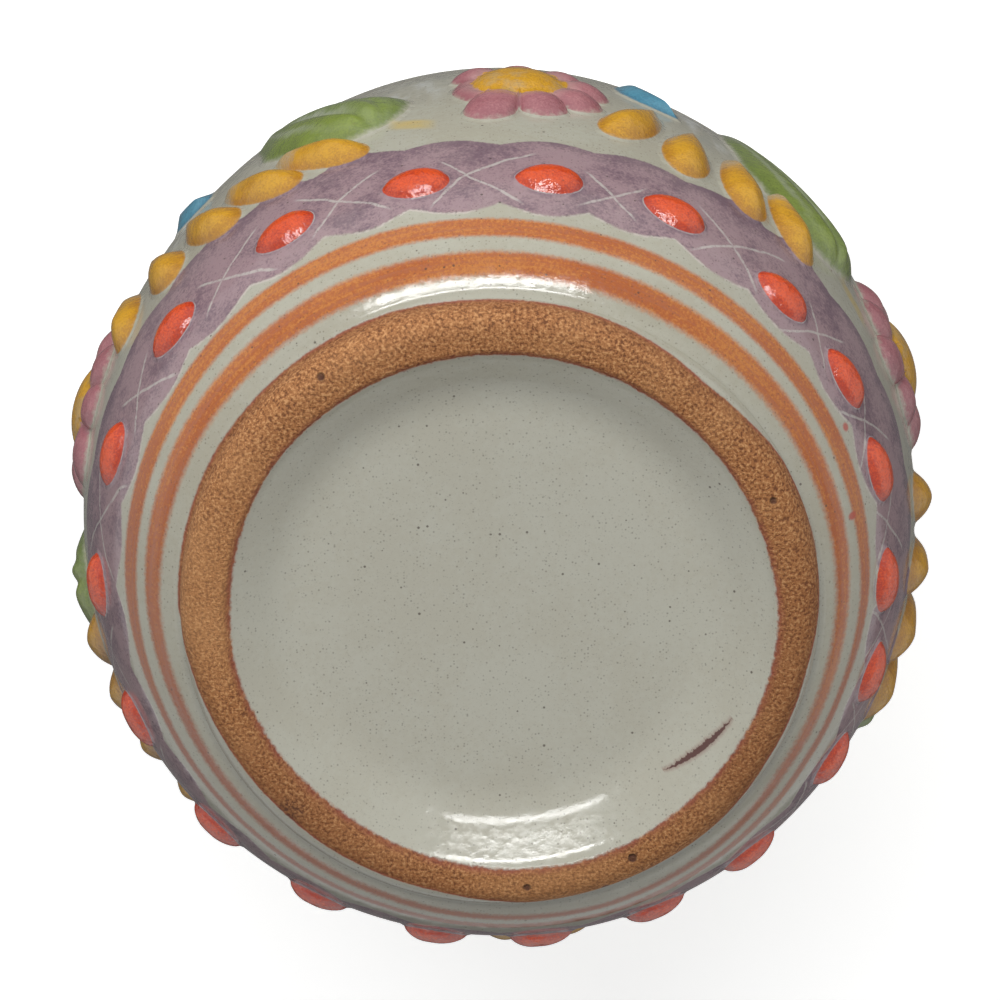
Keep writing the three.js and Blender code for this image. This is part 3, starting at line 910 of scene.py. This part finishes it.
class TUMBLER_OT_throw_body(bpy.types.Operator):
    """Throw the body: recess, foot, outer wall, lip and inside in one turned form"""

    bl_idname = "tumbler.throw_body"
    bl_label = "Throw the body"

    def execute(self, context):
        body = context.scene.tumbler_body
        wall = OuterWall(body)
        slope_top = Vector((body.foot_inner - body.slope, body.recess))
        slope_foot = Vector((body.foot_inner, body.slope_low))
        floor_edge = slope_top - Vector((body.slope_curve, 0))
        slope_start = slope_top + (slope_foot - slope_top).normalized() * body.slope_curve
        stand_inner = body.foot_inner + 0.5 * MM
        stand_outer = stand_inner + body.foot_flat
        profile = [Vector((0, body.recess)).lerp(floor_edge, step / 8) for step in range(8)]
        profile += bezier(
            floor_edge, floor_edge.lerp(slope_top, 0.7), slope_start.lerp(slope_top, 0.7), slope_start, 10
        )
        profile += [slope_start.lerp(slope_foot, step / 4) for step in range(1, 5)]
        profile += [Vector((body.foot_inner + 0.22 * MM, 0.3 * MM)), Vector((stand_inner, 0.04 * MM))]
        profile += [Vector((stand_inner + 0.3 * MM, 0)), Vector((stand_outer - 0.3 * MM, 0))]
        profile.append(Vector((stand_outer, 0)))
        foot = Vector((stand_outer, body.foot_round))
        profile += arc(foot, body.foot_outer - stand_outer, body.foot_round, -90, 0, 12)
        full = wall.runs[-1]
        rises = 92
        profile += [wall.at(full * step / rises)[0] for step in range(1, rises + 1)]
        lip = body.lip / 2
        profile += arc(Vector((body.rim_radius - lip, body.height - lip)), lip, lip, 0, 180, 12)

        # The inside follows the wall down, and then curves in to its floor.
        inside_floor = body.recess + body.floor
        end_run = wall.run_at(inside_floor + 22 * MM)
        falls = 40
        for step in range(1, falls + 1):
            run = full + (end_run - full) * step / falls
            thick = body.wall + (body.lip - body.wall) * smooth_share(run / full, 0.5, 1)
            spot, way = wall.at(run)
            last = Vector((spot.x - way.y * thick, spot.y + way.x * thick))
            profile.append(last)
        profile += bezier(
            last, Vector((0.94 * last.x, last.y - 0.6 * (last.y - inside_floor))),
            Vector((0.7 * last.x, inside_floor)), Vector((0, inside_floor)), 26,
        )[1:]
        mesh = spun(profile, 320)
        for corner in mesh.verts:
            reach = math.hypot(corner.co.x, corner.co.y)
            if reach > 5 * MM:
                corner.co.xy *= 1 + wall.wander(corner.co.copy()) / reach
        finished("thrown_body", mesh, body_material(context.scene), "clay_body")
        return {"FINISHED"}


def dome(height, power=1.0):
    """A dome's height over its outline at a share of the way out."""
    return lambda share, spot, angle: height * (1 - share * share) ** power


def almond(width, low, high):
    """Half the width at a share of the length. The powers say how blunt the low and the high end are."""
    full = low / (low + high)
    fullest = full ** low * (1 - full) ** high
    return lambda share: width / 2 * max(0, share) ** low * max(0, 1 - share) ** high / fullest


class TUMBLER_OT_press_beads(bpy.types.Operator):
    """Press the oval beads on in a ring low on the wall"""

    bl_idname = "tumbler.press_beads"
    bl_label = "Press on the beads"

    def execute(self, context):
        layer = Layer(context.scene, "red", "bead")
        sizes = layer.sizes
        shape = Lengthwise(sizes.bead_width, almond(sizes.bead_height, 0.57, 0.5), (0.5, 0.62), 0.52)
        crown = dome(sizes.bead_crown - sizes.base, 0.75)
        for index, (turn, above) in enumerate(BEAD_PLACES, 1):
            lean = 90 + 14 * noise.noise(Vector((turn, above, 0.5)))
            place = (turn, sizes.bead_level + above * MM, lean)
            layer.lay(f"bead_{index:02d}", f"red_bead_{index:02d}", place, shape, crown)
        return {"FINISHED"}


class TUMBLER_OT_lay_drops(bpy.types.Operator):
    """Lay the fans of drops, round at the foot and drawn out up the wall"""

    bl_idname = "tumbler.lay_drops"
    bl_label = "Lay the drops"

    def execute(self, context):
        layer = Layer(context.scene, "yellow", "drop")
        sizes = layer.sizes
        full = 0.36
        half_width = almond(sizes.drop_width, 0.5, 0.5 / full * (1 - full))
        shape = Lengthwise(sizes.drop_length, half_width, (full, 0.75), full)
        swelling = dome(sizes.drop_crown - sizes.base, 1.1)

        def crown(share, spot, angle):
            tail = max(0, spot.y / sizes.drop_length / (1 - full))
            return swelling(share, spot, angle) * (1 - 0.5 * tail)

        number = 0
        for spray in SPRAYS:
            first, last = spray["fan"]
            for index, turn in enumerate(spray["drops"]):
                number += 1
                share = index / (len(spray["drops"]) - 1)
                level = sizes.drop_level + spray["above"] * MM + sizes.drop_rise * share ** 3
                place = (turn, level, first + (last - first) * share ** 1.6)
                layer.lay(f"drop_{number:02d}", f"yellow_drop_{number:02d}", place, shape, crown)
        return {"FINISHED"}


class TUMBLER_OT_lay_buds(bpy.types.Operator):
    """Lay an almond-shaped bud above each fan of drops"""

    bl_idname = "tumbler.lay_buds"
    bl_label = "Lay the buds"

    def execute(self, context):
        layer = Layer(context.scene, "blue", "bud")
        sizes = layer.sizes

        def half_width(share):
            return sizes.bud_width / 2 * max(0, math.sin(math.pi * share)) ** 0.9

        shape = Lengthwise(sizes.bud_length, half_width, (0.3, 0.7), 0.5)
        crown = dome(sizes.bud_crown - sizes.base, 1.6)
        for index, spray in enumerate(SPRAYS, 1):
            place = (spray["bud"], sizes.bud_level + spray["above"] * MM, -40)
            layer.lay(f"bud_{index}", f"blue_bud_{index}", place, shape, crown)
        return {"FINISHED"}


class TUMBLER_OT_lay_leaves(bpy.types.Operator):
    """Lay a lobed leaf beside each flower"""

    bl_idname = "tumbler.lay_leaves"
    bl_label = "Lay the leaves"

    def execute(self, context):
        layer = Layer(context.scene, "green", "leaf")
        sizes = layer.sizes
        swell = almond(sizes.leaf_width, 0.45, 0.87)

        def half_width(share):
            return swell(share) * (1 - 0.08 * (1 + math.cos(6 * math.pi * share)) / 2)

        shape = Lengthwise(sizes.leaf_length, half_width, (0.14, 0.86), 0)
        swelling = dome(sizes.leaf_crown - sizes.base, 1.05)

        def crown(share, spot, angle):
            along, side = shape.lie(spot, angle)
            midrib = 0.34 * math.exp(-((side / 0.16) ** 2))
            fold = 0.16 * math.exp(-(((side - 0.42) / 0.1) ** 2))
            return swelling(share, spot, angle) * (1 - midrib - fold) * (1 - 0.75 * along)

        for index, spray in enumerate(SPRAYS, 1):
            place = (spray["leaf"] + 1.5, sizes.leaf_level + spray["above"] * MM, -32)
            layer.lay(f"leaf_{index}", f"green_leaf_{index}", place, shape, crown, spokes=128, rings=20)
        return {"FINISHED"}


class TUMBLER_OT_lay_flowers(bpy.types.Operator):
    """Lay the flowers, each with a raised eye in broad petals"""

    bl_idname = "tumbler.lay_flowers"
    bl_label = "Lay the flowers"

    def execute(self, context):
        layer = Layer(context.scene, "pink", "petal")
        sizes = layer.sizes
        # A flower has room for this many petals, counted from the lowest one's angle.
        slots = 9
        lowest = 250

        for index, spray in enumerate(SPRAYS, 1):
            def petal(angle, petals=spray["petals"]):
                slot_share = (math.degrees(angle) - lowest) / (360 / slots)
                nearest = round(slot_share)
                number = nearest % slots
                fullness = max(0, math.cos(math.pi * (slot_share - nearest))) if number < petals else 0
                tip = sizes.first_petal if number == 0 else sizes.flower_reach
                return fullness, sizes.petal_root + (tip - sizes.petal_root) * fullness ** 0.45

            def crown(share, spot, angle, petal=petal):
                fullness, reach = petal(angle)
                out = share * reach
                eye = sizes.eye_radius
                root = 0.8 * eye
                middle = (sizes.eye_crown - sizes.base) * max(0, 1 - (out / (1.08 * eye)) ** 2) ** 0.6
                on_petal = limited((out - root) / (reach - root))
                fold = 0.5 + 0.5 * fullness ** 0.6
                swell = 0.72 + 0.28 * smooth_share(on_petal, 0, 0.6)
                leafy = (sizes.petal_crown - sizes.base) * fold * swell * (1 - on_petal ** 3) ** 0.9
                return max(middle, leafy * min(out / root, 1))

            place = (spray["flower"], sizes.flower_level + spray["above"] * MM, 0)
            shape = Petalled(petal)
            layer.lay(f"blossom_{index}", f"flower_{index}", place, shape, crown, spokes=144, rings=24)
        return {"FINISHED"}


class TUMBLER_OT_set_stage(bpy.types.Operator):
    """Set the stage: table, backdrop, world, lamps and camera"""

    bl_idname = "tumbler.set_stage"
    bl_label = "Set the stage"

    def execute(self, context):
        stage = context.scene.tumbler_stage
        tilt = stage.tilt
        forward = Vector((0, math.sin(tilt), math.cos(tilt)))
        upward = Vector((0, -math.cos(tilt), math.sin(tilt)))
        turn = Matrix((forward.cross(upward), upward, -forward)).transposed().to_4x4()
        data = bpy.data.cameras.new("camera")
        data.lens = stage.lens
        data.sensor_width = 36
        data.clip_start, data.clip_end = 0.01, 10
        camera = linked("camera", data)
        camera.matrix_world = Matrix.Translation(upward * stage.lift - forward * stage.distance) @ turn
        context.scene.camera = camera

        behind = context.scene.tumbler_body.height + 0.5 * MM
        self.sheet("table", 0.6, 0, srgb(238, 238, 236), gloss_from=0.056)
        self.sheet("backdrop", 0.3, behind, srgb(250, 250, 250), from_below=True)
        self.lamp("key", (-0.05, -0.275, -0.4), (0.32, 0.07), stage.key_power)
        self.lamp("glint", (-0.04, -0.36, -0.28), (0.34, 0.05), stage.glint_power).visible_diffuse = False
        self.lamp("side", (-0.15, -0.5, 0.12), (0.3, 0.3), stage.side_power).visible_glossy = False
        self.lamp("fill", (0.25, 0.42, 0.38), (0.3, 0.3), stage.fill_power).visible_glossy = False
        self.card(stage.card)
        self.world(context, stage)
        context.scene.view_settings.view_transform = "Standard"
        return {"FINISHED"}

    @staticmethod
    def disc(name, radius, level, segments, from_below=False):
        """A disc of the stage, and the bench of its material."""
        mesh = bmesh.new()
        bmesh.ops.create_circle(mesh, cap_ends=True, segments=segments, radius=radius)
        bmesh.ops.translate(mesh, verts=mesh.verts, vec=(0, 0, level))
        if from_below:
            bmesh.ops.reverse_faces(mesh, faces=mesh.faces)
        material = bpy.data.materials.new(name)
        made = meshed(name, mesh, material)
        return made, cleared(material)

    def sheet(self, name, radius, level, shade, from_below=False, gloss_from=9.0):
        """A disc that only camera rays from one side see, and reflections farther out than gloss_from.
        Every other ray passes through it, so that the lamps under the table light the pot."""
        bench = self.disc(name, radius, level, 96, from_below)[1]
        lit = bench.value("ShaderNodeAddShader", {
            0: bench.value("ShaderNodeBsdfDiffuse", {"Color": shade}),
            1: bench.value("ShaderNodeEmission", {"Strength": 0.62}),
        })
        place = bench.value("ShaderNodeTexCoord", output="Object")
        reach = bench.value("ShaderNodeVectorMath", {0: place}, "Value", operation="LENGTH")
        mirrored = bench.value("ShaderNodeLightPath", output="Is Glossy Ray")
        mirrored = mirrored * reach.step(gloss_from, 1.08 * gloss_from)
        seen = bench.value("ShaderNodeLightPath", output="Is Camera Ray") + mirrored
        seen = seen * (1 - bench.value("ShaderNodeNewGeometry", output="Backfacing"))
        seen = seen * reach.step(0.55 * radius, 0.98 * radius, 1, 0)
        clear = bench.value("ShaderNodeBsdfTransparent")
        choice = bench.value("ShaderNodeMixShader", {0: seen, 1: clear, 2: lit})
        bench.node("ShaderNodeOutputMaterial", {"Surface": choice})

    @staticmethod
    def lamp(name, spot, size, power):
        """A square-cornered lamp that points at the lower wall."""
        data = bpy.data.lights.new(name, "AREA")
        data.shape = "RECTANGLE"
        data.size, data.size_y = size
        data.energy = power
        made = linked(name, data)
        made.location = spot
        made.rotation_mode = "QUATERNION"
        made.rotation_quaternion = (Vector((0, 0, 0.04)) - Vector(spot)).to_track_quat("-Z", "Y")
        return made

    def card(self, grey):
        """A dark card beyond the mouth that only reflections see. It keeps the turned-away glaze grey."""
        made, bench = self.disc("card", 1.3, 0.8, 48)
        for ray in ("camera", "diffuse", "transmission", "shadow"):
            setattr(made, f"visible_{ray}", False)
        glow = bench.value("ShaderNodeEmission", {"Strength": grey})
        bench.node("ShaderNodeOutputMaterial", {"Surface": glow})

    @staticmethod
    def world(context, stage):
        """White where the camera looks past the pot, and softer as light, stronger from the key side."""
        context.scene.world = bpy.data.worlds.new("studio")
        bench = cleared(context.scene.world)
        rays = ("Is Camera Ray", "Is Transmission Ray", "Is Glossy Ray")
        seen = most(*(bench.value("ShaderNodeLightPath", output=ray) for ray in rays))
        _, away, up = bench.value("ShaderNodeTexCoord", output="Generated").split()
        light = up.step(-0.1, 0.4).between(away * -stage.slant + stage.ambient, stage.above)
        shine = bench.value("ShaderNodeBackground", {"Strength": seen.between(light, 1.0)})
        bench.node("ShaderNodeOutputWorld", {"Surface": shine})


class TUMBLER_PT_panel(bpy.types.Panel):
    """Lists the steps of the work and their settings"""

    bl_label = "Tumbler"
    bl_idname = "TUMBLER_PT_panel"
    bl_space_type = "VIEW_3D"
    bl_region_type = "UI"
    bl_category = "Tumbler"

    def draw(self, context):
        for step in STEPS:
            self.layout.operator(step.bl_idname)
        for name in GROUPS:
            box = self.layout.box()
            settings = getattr(context.scene, name)
            for key in settings.__annotations__:
                box.prop(settings, key)


GROUPS = {
    "tumbler_body": TumblerBody,
    "tumbler_relief": TumblerRelief,
    "tumbler_colours": TumblerColours,
    "tumbler_stage": TumblerStage,
}
STEPS = (
    TUMBLER_OT_throw_body,
    TUMBLER_OT_press_beads,
    TUMBLER_OT_lay_drops,
    TUMBLER_OT_lay_buds,
    TUMBLER_OT_lay_leaves,
    TUMBLER_OT_lay_flowers,
    TUMBLER_OT_set_stage,
)


def register():
    for kind in (*GROUPS.values(), *STEPS, TUMBLER_PT_panel):
        bpy.utils.register_class(kind)
    for name, kind in GROUPS.items():
        setattr(bpy.types.Scene, name, bpy.props.PointerProperty(type=kind))


def unregister():
    for name in GROUPS:
        delattr(bpy.types.Scene, name)
    for kind in reversed((*GROUPS.values(), *STEPS, TUMBLER_PT_panel)):
        bpy.utils.unregister_class(kind)


def main():
    register()
    bpy.ops.tumbler.throw_body()
    bpy.ops.tumbler.press_beads()
    bpy.ops.tumbler.lay_drops()
    bpy.ops.tumbler.lay_buds()
    bpy.ops.tumbler.lay_leaves()
    bpy.ops.tumbler.lay_flowers()
    bpy.ops.tumbler.set_stage()


if __name__ == "__main__":
    main()
